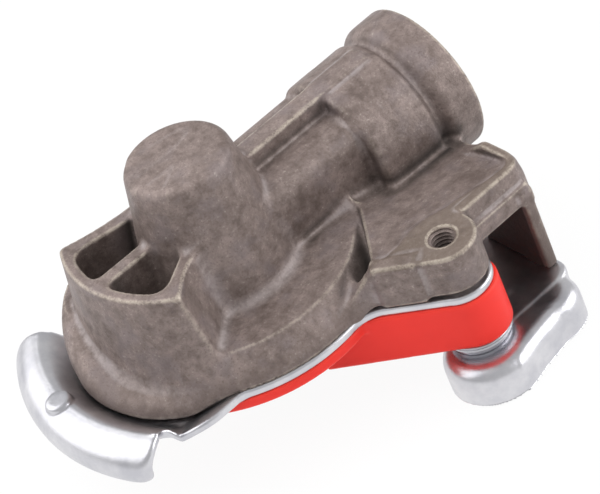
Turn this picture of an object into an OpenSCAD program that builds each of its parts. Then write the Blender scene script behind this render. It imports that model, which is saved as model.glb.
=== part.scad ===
// Air brake palm coupling with a shut-off valve, all sizes in millimetres.
// Origin: centre of the seal face. +Z: seal axis, away from the mate. +X: out of the hose port.

/* [Coupling face] */
// Height of the casting foot above the seal face
seat_z = 8; // [7:0.1:10]
// Thickness of the pressed guide plate
plate_t = 2; // [1.5:0.1:2.5]
// Edge radius of the guide plate and of the red disc below it
plate_r = 34.6; // [33:0.1:37]
// Thickness of the red disc
disc_t = 3; // [2:0.1:3.6]
// Radius of the hole that the seal looks through
mouth_r = 20; // [18.5:0.1:21]

/* [Claw] */
// Distance of the claw's outer wall from the plate's edge
claw_out = 17.8; // [16:0.1:19]
// Height of the claw ridge above the seal face
ridge_z = 9.4; // [9:0.1:11]
// Angle at which the claw starts, on the far side
claw_from = 142; // [141:1:150]
// Angle that the claw covers
claw_sweep = 65; // [50:1:72]

/* [Casting] */
// Radius of the tower at its flat top
tower_top_r = 11.9; // [11.5:0.1:13.5]
// Height of the tower top above the seal face
tower_top_z = 46.4; // [45:0.1:50]
// Height of the ring-shaped ledge round the tower
ledge_z = 15.7; // [15:0.1:17]
// Outer radius of that ledge
ledge_r = 29.7; // [28.5:0.1:31]
// Height of the pocketed fan beside the tower
fan_z = 32.2; // [29:0.1:34]
// Outer radius of the fan at its top
fan_r = 30.2; // [29:0.1:31]

/* [Port] */
// Height of the port axis above the seal face
port_z = 18.4; // [18:0.1:20]
// Distance from the seal axis to the port mouth
port_x = 63.4; // [62:0.1:66]
// Radius of the port collar
collar_r = 18.2; // [17.5:0.1:19]
// Core radius of the M22 x 1.5 port thread
port_thread_r = 10.2; // [9.5:0.05:10.6]
// Depth of the port thread
port_depth = 16; // [13:0.5:17]

/* [Arm and hook] */
// Place of the lug hole along X
lug_x = 28.3; // [27:0.1:30]
// Place of the lug hole along Y
lug_y = -43.4; // [-45:0.1:-42]
// Radius of the lug end
lug_r = 7.5; // [7:0.1:8]
// Core radius of the M6 lug thread
lug_thread_r = 2.5; // [2.3:0.05:2.7]
// Height of the lug top above the seal face
lug_z = 19.3; // [18.8:0.1:20]
// Outer face of the bracket leg along X
leg_x = 52.6; // [52:0.1:54]
// Depth of the red rail below the seal face
rail_drop = 6.8; // [6:0.1:7.2]
// Thickness of the pressed hook plate
hook_t = 2.5; // [2:0.1:3]
// Height of the hook plate
hook_h = 9; // [8:0.1:10]

/* [Valve] */
// Radius of the valve disc
valve_r = 13.6; // [13:0.1:14]
// Thickness of the valve disc
valve_t = 3; // [2.5:0.1:3.5]
// Radius of the valve stem
stem_r = 3.5; // [3:0.1:4]
// Radial running gap of the stem in its guide
stem_gap = 0.05; // [0.02:0.01:0.1]
// Wire radius of the spring
wire_r = 0.8; // [0.6:0.05:0.9]
// Turns of the spring
turns = 6.5; // [5:0.5:8]

/* [Hidden] */
eps = 0.01;
lug = [lug_x, lug_y];
// Depth by which plain shapes run into the rounds that they meet
bite = 0.05;
smooth = 96;
fine = 48;

// Stack of the coupling face, from the casting foot down to the hook
plate_bottom = seat_z - plate_t;
disc_bottom = plate_bottom - disc_t;
hook_top = -ridge_z - 0.1;
rail_bottom = -rail_drop;
washer_t = 1.2;

// Seal and valve stack, from the seal face up into the tower
flange_t = 3.5;
flange_r = 24;
seal_bore_r = 10.5;
valve_seat = seat_z + flange_t;
valve_top = valve_seat + valve_t;
lower_chamber_r = valve_r + 1.2;
lower_chamber_top = valve_top + 5.5;
spring_chamber_r = 10.5;
spring_top = tower_top_z - 9.4;
spring_r = 8;
guide_r = 6.2;
guide_drop = 5.5;
guide_top = tower_top_z - 3.4;
passage_r = 7;
nose_end = 1;

// Claw: height of its lower edge, just past the seal face
claw_end = -1;
claw_r = plate_r + claw_out;
claw_lean = 1.4;
strip_r = plate_r + 8;
strip_y = -27.5;
claw_bend = 4.4;

// Casting
foot_clear = 0.8;
skirt_r = plate_r - 0.3;
tower_foot_r = 17.4;
tower_rim = 2;
tower_root = 5;
base_shift = 11;
base_turn = 178;
base_r = 28.9;
fan_shift = 2.5;
fan_foot = seat_z + 3.1;
fan_spread = 3.2;
fan_near_y = -11.1;
fan_far_y = 14.3;
fan_splay = [43.3, 20.5];
fan_scoop = [-9.6, -22.9];
fan_scoop_r = 10.4;
divider = [-1.6, 0.8];
pocket_z = valve_seat + 2.2;
pipe_r = 13;
barrel_r = 17;
barrel_from = 35.8;
barrel_to = 52;
barrel_rim = 2.2;
groove_r = 15.6;
collar_from = port_x - 9.2;
collar_rim = 2.6;
fin_w = 5.4;
fin_top = port_z + barrel_r + 0.3;
fan_wall = 3;

// Bracket: a tray whose floor falls from the land at the near edge to the pipe, inside a low rim
floor_slope = 15;
land_turn = -7.6;
land_at = lug + [5.3, 6.2];
rim_x = leg_x + 2.4;
rim_w = 2.7;
rim_fall = [-29, -18];
web_bottom = 10;
web_front = -42.3;
corner_r = 5;

// Leg of the hook, and the tenon at its foot
leg_w = 2.9;
leg_front = web_front - 1.2;
leg_depth = 21;
tenon = [leg_w, 6];
tenon_in = 2;
tenon_gap = 0.15;

// Arm: the tangent to the lug end runs back to the skirt at this angle
arm_angle = -48.6;
arm_dir = [cos(arm_angle), sin(arm_angle)];
arm_side = [sin(arm_angle), -cos(arm_angle)];
arm_back_x = 24.5;
arm_notch_y = -20.8;
arm_clear = 1.3;
arm_boss_r = 5.2;
arm_reach = 13.8;
wing_reach = 26;
wing_z = seat_z + 6.2;
wing_in = 0.3;

// Red rail: the far end of its stop wall under the disc, and its width there
rail_tail = [1.8, -23.5];
rail_w = 10.2;

// Hook plate: a near and a far cup, and the line where its floor ends
hook_near = lug + [0.6, -3.4];
hook_near_r = 10.5;
hook_far = [leg_x - 6.4, lug_y - 3.6];
hook_far_r = 7.5;
hook_round = 3;
hook_back = -22;
hook_inner_r = 38.5;

// Screws
screw_angles = [20, 110, 215];
screw_ring_r = 27.3;
screw_r = 2.5;
screw_core_r = 2.1;
screw_head_r = 4.6;
screw_reach = 6;
bolt_r = 3;
bolt_head_h = 4;
bolt_key = 10;
bolt_reach = 5;
hole_gap = 0.3;

zinc = [0.82, 0.82, 0.86];
steel = [0.62, 0.63, 0.65];

// Helpers

// A revolved ring between two radii and two heights
module ring(outer, inner, bottom, top) {
  rotate_extrude($fn = smooth)
    translate([inner, bottom])
      square([outer - inner, top - bottom]);
}

// A round bar along +X
module bar(radius, from, to) {
  translate([from, 0, port_z])
    rotate([0, 90, 0])
      cylinder(r = radius, h = to - from, $fn = smooth);
}

// A flat outline raised between two heights
module slab(bottom, top) {
  translate([0, 0, bottom])
    linear_extrude(top - bottom)
      children();
}

// The point at a distance from the lug centre along the arm and out to its near side
function by_lug(along, out) = lug + along * arm_dir + out * arm_side;

// The point at a radius and an angle
function polar(radius, angle) = radius * [cos(angle), sin(angle)];

// Points along an arc of a section, from one angle to another
function arc(centre, radius, from, to, steps = 8) =
  [for (i = [0 : steps]) centre + polar(radius, from + (to - from) * i / steps)];

// The screw places on their ring
module at_screws() {
  for (angle = screw_angles)
    rotate([0, 0, angle])
      translate([screw_ring_r, 0, 0])
        children();
}

// Casting

// Skirt and ledge: a drafted drum with a short upright foot
module skirt() {
  rotate_extrude($fn = smooth)
    polygon([
      [0, seat_z], [skirt_r, seat_z], [skirt_r, seat_z + 1.4],
      [ledge_r + 0.7, ledge_z - 0.8], [ledge_r - 0.1, ledge_z], [0, ledge_z]
    ]);
}

// Tower: a drafted post with a rounded rim and a hollow flare at its root
module tower() {
  draft = (tower_foot_r - tower_top_r) / (tower_top_z - ledge_z);
  flare_x = tower_foot_r - tower_root * draft + tower_root * sqrt(1 + draft * draft);
  rotate_extrude($fn = smooth) {
    polygon([
      [0, ledge_z], [tower_foot_r, ledge_z],
      [tower_top_r + draft * tower_rim, tower_top_z - tower_rim],
      [tower_top_r - tower_rim, tower_top_z], [0, tower_top_z]
    ]);
    translate([tower_top_r + draft * tower_rim - tower_rim, tower_top_z - tower_rim])
      circle(tower_rim, $fn = fine);
    difference() {
      translate([0, ledge_z - eps])
        square([flare_x, tower_root]);
      translate([flare_x, ledge_z + tower_root])
        circle(tower_root, $fn = smooth);
    }
  }
}

// Foot flange on the claw side: a wider disc, set off towards the claw, that flares up into the fan
module base_flange() {
  bottom = seat_z + foot_clear;
  rotate([0, 0, base_turn])
    translate([base_shift, 0, 0])
      rotate_extrude($fn = smooth)
        polygon([
          [0, bottom], [base_r, bottom], [base_r, bottom + 1.6], [base_r - 3.2, bottom + 3.4],
          [base_r - 5.4, bottom + 6.8], [0, bottom + 6.8]
        ]);
}

// Plan of the fan: two side walls that leave the tower and splay out past the arc, the near one scooped
module fan_plan() {
  out = 2 * fan_r;
  near_x = -9;
  far_x = -16.6;
  difference() {
    polygon([
      [0, fan_near_y], [near_x, fan_near_y], [near_x - out, fan_near_y - out * tan(fan_splay[0])],
      [far_x - out, fan_far_y + out * tan(fan_splay[1])], [far_x, fan_far_y], [0, fan_far_y]
    ]);
    translate(fan_scoop)
      circle(fan_scoop_r, $fn = smooth);
  }
}

// Fan: the plan cut from a cone, open at the top into two pockets
module fan() {
  intersection() {
    translate([0, fan_shift, 0])
      rotate_extrude($fn = smooth)
        polygon([[0, fan_foot], [fan_r + fan_spread, fan_foot], [fan_r, fan_z], [0, fan_z]]);
    slab(fan_foot, fan_z + 1)
      fan_plan();
  }
}

// The two pockets of the fan, either side of the divider along -X
module pockets() {
  difference() {
    slab(pocket_z, fan_z + 1)
      difference() {
        intersection() {
          circle(fan_r - fan_wall, $fn = smooth);
          polygon([
            [0, fan_near_y + 4.6], [-12, fan_near_y + fan_wall], [-19.2, fan_near_y - 4.5],
            [-2 * fan_r, fan_near_y - 4.5], [-2 * fan_r, fan_far_y + fan_wall],
            [-24, fan_far_y + 0.3], [0, fan_far_y - 4.8]
          ]);
        }
        translate([-2 * fan_r, divider[0]])
          square([2 * fan_r, divider[1] - divider[0]]);
      }
    cylinder(r1 = tower_foot_r + 3.4, r2 = tower_foot_r - 3.4, h = tower_top_z, $fn = smooth);
  }
}

// Hose pipe: neck, thicker barrel, groove, collar with rounded rims, and the fin on top
module pipe() {
  difference() {
    bar(pipe_r, 0, barrel_from + eps);
    slab(0, seat_z)
      circle(plate_r + 2, $fn = smooth);
  }
  translate([0, 0, port_z])
    rotate([0, 90, 0])
      rotate_extrude($fn = smooth) {
        rounded_step(barrel_r, barrel_from, barrel_to, barrel_rim);
        rounded_step(collar_r, collar_from, port_x, collar_rim);
        translate([0, barrel_from + eps])
          square([groove_r, port_x - collar_rim - barrel_from]);
      }
  slab(port_z, fin_top)
    translate([0, -fin_w / 2])
      square([barrel_to - barrel_rim, fin_w]);
}

// Half section of a turned step with both rims rounded
module rounded_step(radius, from, to, rim) {
  translate([0, from + rim])
    square([radius, to - from - 2 * rim]);
  translate([0, from])
    square([radius - rim, to - from]);
  for (end = [from + rim, to - rim])
    translate([radius - rim, end])
      circle(rim, $fn = fine);
}

// Plan of the arm: the lug end and the block that runs back to the skirt and the pipe
module arm_plan() {
  side = lug_r - bite;
  translate(lug)
    circle(lug_r, $fn = smooth);
  polygon([
    by_lug(0, side), by_lug(-arm_reach, side), [arm_back_x, arm_notch_y], [arm_back_x, 0],
    lug + [side, -lug_y], lug + [side, 0], lug
  ]);
}

// Plan of the low wing that carries the arm's near side on to the skirt
module wing_plan() {
  side = lug_r - wing_in;
  polygon([
    by_lug(0, side), by_lug(-wing_reach, side), [arm_back_x / 2, -ledge_r / 2],
    [arm_back_x + 1, -ledge_r / 2], lug
  ]);
}

// All below the top of arm and tray: a flat land along the near side, then a slope down to the pipe
module under_top() {
  near = 40;
  far = 50;
  translate([land_at[0], land_at[1], 0])
    rotate([90, 0, 90 + land_turn])
      linear_extrude(2 * leg_x, center = true)
        polygon([
          [-near, 0], [-near, lug_z], [0, lug_z], [far, lug_z - far * tan(floor_slope)], [far, 0]
        ]);
}

// Arm: clear of the plate but for a boss at the bolt and the wing's root in the skirt
module arm() {
  intersection() {
    slab(seat_z + arm_clear, lug_z)
      arm_plan();
    under_top();
  }
  slab(seat_z + arm_clear + wing_in, wing_z)
    wing_plan();
  translate([lug_x, lug_y, seat_z])
    cylinder(r = arm_boss_r, h = 2 * arm_clear, $fn = smooth);
}

// Plan of the bracket: an oblong with its outer near corner rounded, drawn in by an inset
module bracket_plan(inset) {
  round = corner_r - inset;
  front = web_front + inset;
  right = rim_x - inset;
  translate([lug_x, front])
    square([right - round - lug_x, -front]);
  translate([lug_x, front + round])
    square([right - lug_x, -front - round]);
  translate([right - round, front + round])
    circle(round, $fn = fine);
}

// Bracket: sloping tray, hollow below, with a band along its near face, the rim and the leg
module bracket() {
  pocket_x = lug_x + lug_r + 2.5;
  pocket_y = web_front + 5;
  difference() {
    intersection() {
      slab(web_bottom, lug_z)
        bracket_plan(wing_in);
      under_top();
    }
    slab(web_bottom - 1, web_bottom + 1.5)
      translate([pocket_x, pocket_y])
        square([leg_x - leg_w - pocket_x, -barrel_r - pocket_y]);
  }
  slab(web_bottom, web_bottom + 5)
    translate([lug_x, leg_front + wing_in])
      square([leg_x - wing_in - lug_x, 2]);
  rim();
  leg();
}

// Rim of the tray's outer side: level with the land, then falling towards the collar
module rim() {
  fall = rim_fall[1] - rim_fall[0];
  intersection() {
    slab(web_bottom + bite, lug_z + bite)
      difference() {
        bracket_plan(0);
        bracket_plan(rim_w);
      }
    translate([leg_x - leg_w, 0, 0])
      rotate([90, 0, 90])
        linear_extrude(rim_x)
          polygon([
            [2 * web_front, 0], [2 * web_front, lug_z + 1], [rim_fall[0], lug_z + 1],
            [rim_fall[1], lug_z + 1 - 0.8 * fall], [rim_fall[1], 0]
          ]);
  }
}

// Leg: a plate across X under the rim, with a tenon at its foot
module leg() {
  translate([leg_x - leg_w, 0, 0])
    rotate([90, 0, 90])
      linear_extrude(leg_w) {
        translate([leg_front, hook_top])
          square([leg_depth, web_bottom + 3 - hook_top]);
        translate([leg_front + tenon_in, hook_top - hook_t])
          square([tenon[1], hook_t + eps]);
      }
}

// Seal seat, valve chambers, stem guide, air passage and port thread core
module valve_bores() {
  ring(flange_r, 0, seat_z - 1, valve_seat);
  ring(lower_chamber_r, 0, valve_seat - eps, lower_chamber_top);
  difference() {
    ring(spring_chamber_r, 0, lower_chamber_top - eps, spring_top);
    ring(guide_r, 0, spring_top - guide_drop, spring_top + 1);
  }
  ring(stem_r + stem_gap, 0, spring_top - guide_drop - 1, guide_top);
  difference() {
    bar(passage_r, spring_chamber_r - 4, port_x - port_depth + eps);
    ring(spring_chamber_r - 1, 0, 0, tower_top_z);
  }
  bar(port_thread_r, port_x - port_depth, port_x + 1);
}

module body_casting() {
  color([0.47, 0.43, 0.41])
    difference() {
      union() {
        skirt();
        tower();
        base_flange();
        difference() {
          fan();
          pockets();
        }
        pipe();
        arm();
        bracket();
      }
      valve_bores();
      translate([lug_x, lug_y, seat_z - 1]) {
        cylinder(r = lug_thread_r, h = lug_z, $fn = fine);
        cylinder(r = bolt_r, h = bolt_reach + 1.1, $fn = fine);
      }
      at_screws()
        translate([0, 0, seat_z - 1])
          cylinder(r = screw_core_r, h = screw_reach + 1, $fn = fine);
    }
}

// Guide plate

// Section of the claw: a flat that rises to a round ridge and turns down into the outer wall
module claw_section() {
  inner = claw_bend - plate_t;
  centre = [claw_r - claw_bend, ridge_z - claw_bend];
  root = strip_r - 6;
  root_in = 0.25 * plate_t;
  steep = 100;
  polygon(concat(
    [[root, seat_z - root_in]],
    arc(centre, claw_bend, steep, 0),
    [[claw_r - claw_lean, claw_end], [claw_r - claw_lean - plate_t, claw_end]],
    arc(centre, inner, 0, steep),
    [[root, plate_bottom + root_in]]
  ));
}

// Plan of the flat of the plate: disc, arm strip and the wider part that carries the claw
module plate_plan() {
  circle(plate_r, $fn = smooth);
  translate(lug)
    circle(lug_r + 0.1, $fn = smooth);
  polygon([
    by_lug(0, lug_r), by_lug(-16, lug_r), [0, -30], [20, -10],
    lug + [lug_r, 12], lug + [lug_r, 0], lug
  ]);
  intersection() {
    circle(strip_r, $fn = smooth);
    polygon([
      [0, 0], [0, strip_y], [-2 * strip_r, strip_y], [-2 * strip_r, 0], 2 * polar(strip_r, claw_from + 1)
    ]);
  }
}

module guide_plate() {
  dimple = claw_from + claw_sweep / 2 + 2;
  color(zinc)
    difference() {
      union() {
        slab(plate_bottom, seat_z)
          plate_plan();
        rotate([0, 0, claw_from])
          rotate_extrude(angle = claw_sweep, $fn = smooth)
            claw_section();
        rotate([0, 0, dimple])
          translate([claw_r - 5, 0, ridge_z - 1])
            cylinder(r1 = 2.8, r2 = 1.4, h = 1.8, $fn = fine);
      }
      ring(mouth_r, 0, 0, tower_top_z);
      translate([lug_x, lug_y, 0])
        cylinder(r = bolt_r + hole_gap, h = tower_top_z, $fn = fine);
      at_screws()
        cylinder(r = screw_r + hole_gap, h = tower_top_z, $fn = fine);
    }
}

// Guide rail

// Plan of the rail: a straight stop wall that ends in a round boss under the lug
module rail_plan() {
  boss = lug + [0.4, -0.2];
  boss_r = lug_r + 0.3;
  turn = arm_angle + 1;
  translate(boss)
    circle(boss_r, $fn = smooth);
  polygon([
    boss + boss_r * [sin(turn), -cos(turn)], rail_tail, rail_tail + [rail_w, 0],
    boss + [boss_r, rail_w + 4], boss + [boss_r, 0], boss
  ]);
}

module guide_rail() {
  color([0.86, 0.22, 0.17])
    difference() {
      union() {
        slab(disc_bottom, plate_bottom)
          circle(plate_r - 0.1, $fn = smooth);
        slab(rail_bottom, plate_bottom)
          rail_plan();
      }
      ring(mouth_r, 0, -20, tower_top_z);
      translate([lug_x, lug_y, -20])
        cylinder(r = bolt_r + hole_gap, h = tower_top_z, $fn = fine);
      at_screws() {
        cylinder(r = screw_r + hole_gap, h = tower_top_z, $fn = fine);
        translate([0, 0, disc_bottom - 1])
          cylinder(r1 = screw_head_r + 1.1, r2 = screw_r + 0.1, h = screw_head_r - screw_r + 1, $fn = fine);
      }
    }
}

// Hook plate

// A round cup with a rounded outer edge, drawn in by an inset for its inner side
module puck(radius, round, inset) {
  r = radius - inset;
  rotate_extrude($fn = smooth) {
    translate([0, hook_top - hook_h])
      square([r, hook_h - round]);
    square_top = hook_top - inset - round;
    translate([0, square_top - eps])
      square([r - round, round + eps]);
    translate([r - round, square_top])
      circle(round, $fn = fine);
  }
}

// Solid form of the hook plate, drawn in by an inset for its inner side
module hook_form(inset) {
  round = hook_round - inset / hook_t;
  translate(hook_near)
    puck(hook_near_r, round, inset);
  translate(hook_far)
    puck(hook_far_r, round, inset);
  near = hook_near_r - inset;
  far = hook_far_r - inset;
  slab(hook_top - hook_h, hook_top - inset - round)
    polygon([
      hook_near + [1, -near], hook_far + [0, -far], hook_far + [0, far], hook_near + [0, near]
    ]);
  slab(hook_top - inset - round - eps, hook_top - inset)
    polygon([
      hook_near + [1, round - near], hook_far + [0, round - far],
      hook_far + [0, far - round], hook_near + [0, near - round]
    ]);
}

// Flat inner part of the hook plate, over which the claw of the mate slides
module hook_floor() {
  right = leg_x + 0.6;
  slab(hook_top - hook_t, hook_top)
    difference() {
      polygon([
        hook_near, [hook_near[0] - 4, lug_y + 6], [hook_near[0], hook_back], [right, hook_back],
        [right, hook_far[1]]
      ]);
      circle(hook_inner_r, $fn = smooth);
    }
}

module hook_plate() {
  color(zinc)
    difference() {
      union() {
        difference() {
          hook_form(0);
          translate([0, 0, -eps])
            hook_form(hook_t);
          slab(hook_top - hook_h - 1, hook_top - hook_t)
            translate(lug - [lug_r - 0.4, 0])
              square(leg_x);
        }
        hook_floor();
      }
      translate([lug_x, lug_y, hook_top - hook_h - 1])
        cylinder(r = bolt_r + hole_gap, h = hook_h + 2, $fn = fine);
      slab(hook_top - hook_h, hook_top + 1)
        translate([leg_x - leg_w - tenon_gap, leg_front + tenon_in - tenon_gap])
          square(tenon + [2, 2] * tenon_gap);
    }
}

// Spacer, washer and bolt of the hook

module spacer_ring() {
  color(zinc)
    translate([lug_x, lug_y, 0])
      ring(lug_r + 0.1, bolt_r + hole_gap, hook_top + washer_t, rail_bottom);
}

module lock_washer() {
  color(steel)
    translate([lug_x, lug_y, 0])
      ring(lug_r - 0.5, bolt_r + hole_gap, hook_top, hook_top + washer_t);
}

// Hexagon bolt from below through hook, washers, rail and plate into the lug
module hook_bolt() {
  head_top = hook_top - hook_t;
  color(steel)
    translate([lug_x, lug_y, 0]) {
      translate([0, 0, head_top - bolt_head_h])
        cylinder(d = bolt_key / cos(30), h = bolt_head_h, $fn = 6);
      translate([0, 0, head_top - eps])
        cylinder(r = bolt_r - 0.02, h = seat_z + bolt_reach - head_top, $fn = fine);
    }
}

// Countersunk screws that clamp disc and plate to the casting foot
module plate_screws() {
  cone = screw_head_r - screw_r;
  color(steel)
    at_screws()
      difference() {
        union() {
          translate([0, 0, disc_bottom])
            cylinder(r1 = screw_head_r, r2 = screw_r, h = cone, $fn = fine);
          translate([0, 0, disc_bottom + cone - eps])
            cylinder(r = screw_r, h = seat_z - disc_bottom - cone, $fn = fine);
          translate([0, 0, seat_z - 1])
            cylinder(r = screw_core_r - 0.02, h = screw_reach, $fn = fine);
        }
        translate([0, 0, disc_bottom - eps])
          cylinder(r = 1.73, h = 1.6, $fn = 6);
      }
}

// Seal and valve

// Rubber seal: clamped flange, body through the mouth and a rounded contact lip
module face_seal() {
  body_r = mouth_r - 1;
  lip = 2;
  color([0.09, 0.09, 0.09])
    rotate_extrude($fn = smooth) {
      translate([seal_bore_r, seat_z])
        square([flange_r - 0.1 - seal_bore_r, flange_t]);
      translate([seal_bore_r, lip])
        square([body_r - seal_bore_r, seat_z - lip + eps]);
      translate([seal_bore_r + lip, 0])
        square([body_r - seal_bore_r - 2 * lip, lip + eps]);
      for (r = [seal_bore_r + lip, body_r - lip])
        translate([r, lip])
          circle(lip, $fn = fine);
    }
}

// Valve: disc on the seal flange, guided stem above, ribbed nose that the mate pushes
module valve_plunger() {
  nose_r = 7.6;
  rib = 2.4;
  color([0.86, 0.84, 0.78]) {
    ring(valve_r, 0, valve_seat, valve_top);
    ring(stem_r, 0, valve_top - eps, spring_top);
    ring(nose_r, 0, nose_end, nose_end + 2);
    for (turn = [0, 90])
      rotate([0, 0, turn])
        slab(nose_end, valve_seat + eps)
          translate([-nose_r, -rib / 2])
            square([2 * nose_r, rib]);
  }
}

// Spring: round wire swept along a helix, between the disc and the chamber roof
module valve_spring() {
  sides = 10;
  steps = 28;
  count = round(turns * steps);
  low = valve_top + wire_r;
  rise = (spring_top - wire_r - low) / count;
  points = [
    for (i = [0 : count], k = [0 : sides - 1])
      let (a = i * 360 / steps, b = k * 360 / sides, r = spring_r + wire_r * cos(b))
        [r * cos(a), r * sin(a), low + i * rise + wire_r * sin(b)]
  ];
  skin = [
    for (i = [0 : count - 1], k = [0 : sides - 1])
      let (n = (k + 1) % sides, a = i * sides)
        [a + k, a + n, a + sides + n, a + sides + k]
  ];
  start = [for (k = [sides - 1 : -1 : 0]) k];
  end = [for (k = [0 : sides - 1]) count * sides + k];
  color(steel)
    polyhedron(points, concat(skin, [start, end]));
}

body_casting();
guide_plate();
guide_rail();
hook_plate();
spacer_ring();
lock_washer();
hook_bolt();
plate_screws();
face_seal();
valve_plunger();
valve_spring();
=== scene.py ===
"""Looks of an air brake palm coupling: cast body, pressed zinc plates, red rail, threads, valve and stage."""
import math

import bpy
import numpy as np
from bpy.props import FloatProperty, FloatVectorProperty, PointerProperty
from mathutils import Matrix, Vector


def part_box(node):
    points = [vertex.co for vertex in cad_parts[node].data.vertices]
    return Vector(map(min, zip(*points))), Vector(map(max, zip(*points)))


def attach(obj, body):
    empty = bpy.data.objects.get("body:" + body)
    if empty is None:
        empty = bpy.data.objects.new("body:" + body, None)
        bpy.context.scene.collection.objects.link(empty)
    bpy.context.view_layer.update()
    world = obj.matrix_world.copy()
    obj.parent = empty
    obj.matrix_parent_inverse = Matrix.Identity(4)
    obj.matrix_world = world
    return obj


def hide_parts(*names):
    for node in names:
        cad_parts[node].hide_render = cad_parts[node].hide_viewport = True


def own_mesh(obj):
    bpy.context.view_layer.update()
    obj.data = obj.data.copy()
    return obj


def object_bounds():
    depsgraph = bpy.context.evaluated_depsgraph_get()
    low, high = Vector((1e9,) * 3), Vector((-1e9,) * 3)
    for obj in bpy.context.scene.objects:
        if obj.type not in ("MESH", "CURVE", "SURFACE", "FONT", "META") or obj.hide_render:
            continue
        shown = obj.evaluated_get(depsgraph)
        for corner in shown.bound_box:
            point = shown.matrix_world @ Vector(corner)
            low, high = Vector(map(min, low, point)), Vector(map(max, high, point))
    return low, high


bl_info = {
    "name": "Palm coupling looks",
    "version": (1, 0, 0),
    "blender": (4, 5, 0),
    "location": "3D View > Sidebar > Coupling",
    "description": "Builds the visible pieces, finishes and stage of an air brake palm coupling",
    "category": "Object",
}

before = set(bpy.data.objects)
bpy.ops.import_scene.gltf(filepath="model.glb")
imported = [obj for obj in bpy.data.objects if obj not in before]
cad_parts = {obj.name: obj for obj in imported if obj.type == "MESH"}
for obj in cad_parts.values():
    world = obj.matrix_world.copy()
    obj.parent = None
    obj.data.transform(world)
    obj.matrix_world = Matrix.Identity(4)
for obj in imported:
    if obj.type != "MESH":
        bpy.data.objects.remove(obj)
CAD_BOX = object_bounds()
BODY = "coupling_body"
MM = 0.001

# Sizes in millimetres: those of the solids or a hair inside, with claw and hook cups as photographed

# Foot, tower and fan of the casting
SEAT_Z = 8.0
SINK = 1.0
LEDGE_Z = 15.7
TOWER_TOP_Z = 46.4
TOWER_TOP_R = 11.9
TOWER_DRAFT = 0.179
FAN_Z = 32.2
FAN_R = 30.2
FAN_SHIFT = 2.5
POCKET_Z = 13.7

# Hose pipe of the casting
PORT_Z = 18.4
PORT_X = 63.4
PORT_DEPTH = 16.0
PORT_CORE_R = 10.2
COLLAR_R = 18.2
BARREL_R = 17.0
BARREL_ENDS = (35.8, 52.0)

# Arm, lug and bracket of the casting
LUG = (28.3, -43.4)
LUG_R = 7.5
LUG_Z = 19.3
LUG_CORE_R = 2.5
BOLT_HOLE_R = 3.3
ARM_FOOT_Z = SEAT_Z + 1.3
ARM_TURN = -48.61
LAND_CORNER = (33.6, -36.8)
TRAY_SLOPE = 0.235
TRAY_UNDER_Z = 10.0
LEG_X = 52.6
LEG_T = 2.9
LEG_FRONT = -43.5
RIM_X = 55.0
RIM_T = 2.6
WEB_FRONT = -42.3

# Guide plate and its claw
SHEET = 2.0
PLATE_R = 34.58
MOUTH_R = 20.0
CLAW_R = 52.3
CLAW_ENDS = (140.0, 208.5)
CLAW_FOOT = 0.6
RIDGE_Z = 9.4
CREST_R = 45.6
BEND_R = 32.4
DIP_END_Y = -27.5

# Hook plate
HOOK_TOP = -9.5
HOOK_H = 8.98
HOOK_T = 2.5
HOOK_ROUND = 4.0
HOOK_NEAR = (26.9, -46.6)
HOOK_NEAR_R = 10.5
HOOK_FAR = (44.2, -47.0)
HOOK_FAR_R = 7.5

# Rail and screws
DISC_T = 3.0
RAIL_BOTTOM = -6.8
RAIL_TURN = -47.6
SCREW_RING = 27.3
SCREW_ANGLES = (20.0, 110.0, 215.0)
SCREW_HOLE_R = 2.8


# Solids as fields: each is below zero inside and above zero outside, in millimetres

def join(a, b, soft=0.0):
    """Union: the lower of two fields, with the corner between them filled over a width of soft."""
    if soft == 0.0:
        return np.minimum(a, b)
    near = np.maximum(soft - np.abs(a - b), 0.0) / soft
    return np.minimum(a, b) - near * near * soft * 0.25


def meet(a, b, soft=0.0):
    """Common part: the higher of two fields, with the edge between them rounded over a width of soft."""
    return -join(-a, -b, soft)


def cut(a, b, soft=0.0):
    """The first solid without the second."""
    return meet(a, -b, soft)


def between(v, low, high):
    """Slab between two planes across one axis."""
    return np.abs(v - (low + high) / 2) - (high - low) / 2


def block(x, y, z, low, high, soft=0.0):
    """Box from its lowest to its highest corner."""
    plan = meet(between(x, low[0], high[0]), between(y, low[1], high[1]), soft)
    return meet(plan, between(z, low[2], high[2]), soft)


def post(x, y, z, radius, low, high, soft=0.0):
    """Upright round bar."""
    return meet(np.hypot(x, y) - radius, between(z, low, high), soft)


def toward(x, y, degrees):
    """How far a place of the plan lies in a direction, given in degrees from +X."""
    turn = math.radians(degrees)
    return x * math.cos(turn) + y * math.sin(turn)


def softplus(v, width):
    """v where it is positive and 0 where it is negative, with a bend of that width between."""
    return 0.5 * (v + np.sqrt(v * v + width * width))


def ramp(v, low, high):
    """0 below low, 1 above high, and a smooth rise between."""
    share = np.clip((v - low) / (high - low), 0, 1)
    return share * share * (3 - 2 * share)


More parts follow.
